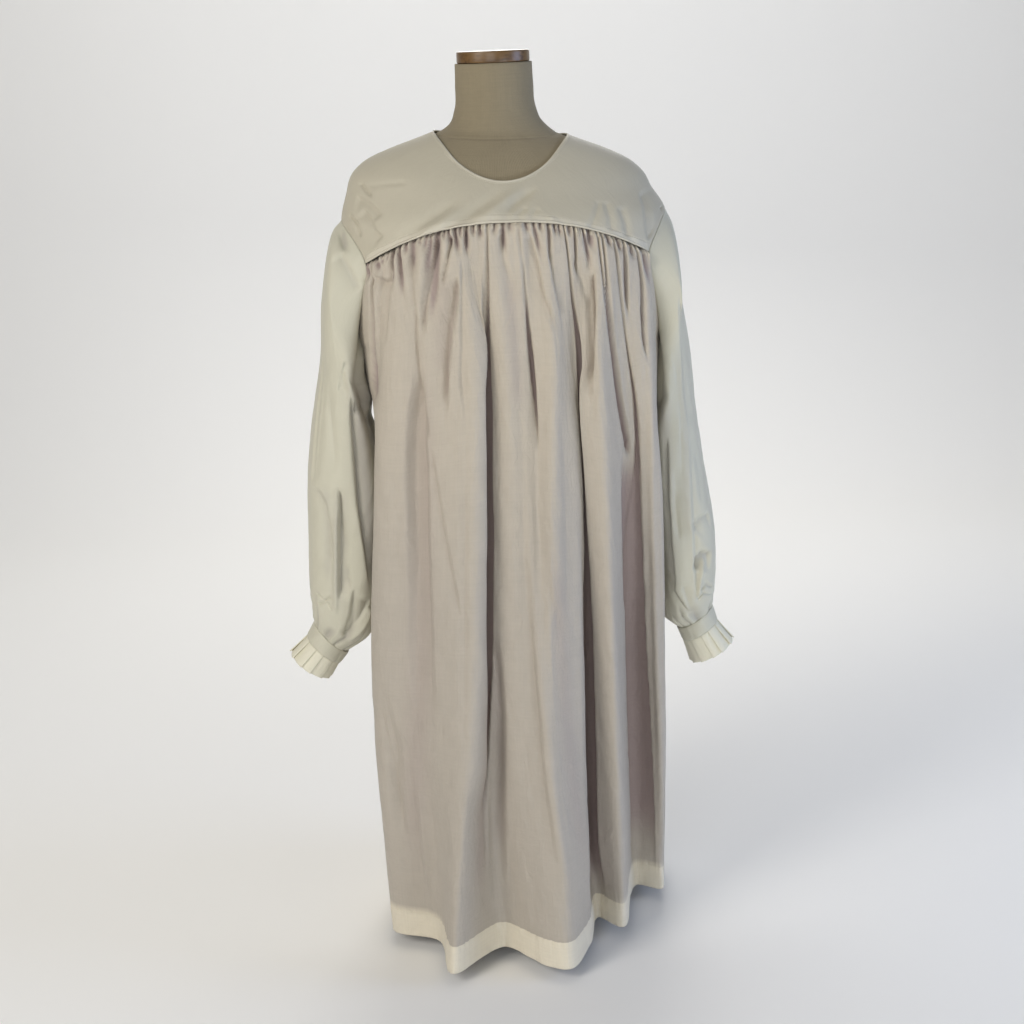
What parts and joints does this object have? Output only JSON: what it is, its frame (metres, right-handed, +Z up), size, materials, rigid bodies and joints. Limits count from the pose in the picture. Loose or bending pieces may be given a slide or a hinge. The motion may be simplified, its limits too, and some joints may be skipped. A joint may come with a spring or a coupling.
{
  "type": "rochet on dress form",
  "caption": "Thin white rochet with smooth yoke, gathered skirt and full sleeves with frilled wristbands, worn on a limbless linen dress form with a wooden neck cap and a low round stand.",
  "frame": {"origin": "centre of the stand base's underside, on the floor", "axes": "+Z up along the pole, the front of the garment towards -Y, +X to the right of a viewer who faces the front"},
  "size_m": [0.6593, 0.4535, 1.2778],
  "materials": {
    "cotton_body": "thin plain-woven cotton, washed and pressed",
    "cotton_yoke": "double plain-woven cotton, pressed flat",
    "cotton_sleeve": "thin plain-woven cotton, washed and pressed",
    "linen": "natural linen cover, stretched smooth",
    "beech": "clear varnished beech",
    "iron": "satin black paint"
  },
  "bodies": {
    "root": {"front_panel": "cotton_body", "back_panel": "cotton_body", "front_yoke": "cotton_yoke", "back_yoke": "cotton_yoke", "sleeve_left": "cotton_sleeve", "sleeve_right": "cotton_sleeve", "wristband_left": "cotton_yoke", "wristband_right": "cotton_yoke", "frill_left": "cotton_sleeve", "frill_right": "cotton_sleeve", "form_torso": "linen", "form_neck_cap": "beech", "stand_pole": "iron", "stand_base": "iron"}
  },
  "joints": []
}
